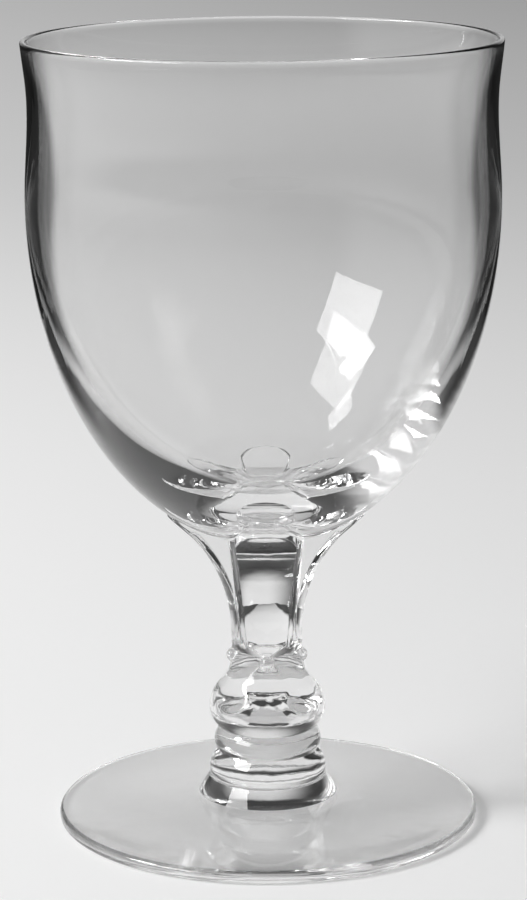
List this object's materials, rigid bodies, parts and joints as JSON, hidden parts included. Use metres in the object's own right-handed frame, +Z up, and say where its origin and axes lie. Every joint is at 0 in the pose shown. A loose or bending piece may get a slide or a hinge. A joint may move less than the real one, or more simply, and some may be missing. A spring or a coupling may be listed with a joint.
{
  "type": "water goblet",
  "caption": "Clear crystal water goblet: a deep egg-shaped blown bowl on a pressed stem with four flared petals, a faceted knop and turned rings, on a round disc foot.",
  "frame": {"origin": "middle of the foot's underside, on the surface that the goblet stands on", "axes": "+Z up along the goblet's axis, towards the rim; -Y is the middle of one stem petal, the side that the picture shows"},
  "size_m": [0.0904, 0.0904, 0.152],
  "materials": {
    "bowl_crystal": "clear blown crystal, fire-polished",
    "stem_crystal": "clear pressed crystal, fire-polished edges",
    "foot_crystal": "clear cast crystal, polished"
  },
  "bodies": {
    "root": {"bowl": "bowl_crystal", "stem": "stem_crystal", "foot": "foot_crystal"}
  },
  "joints": []
}
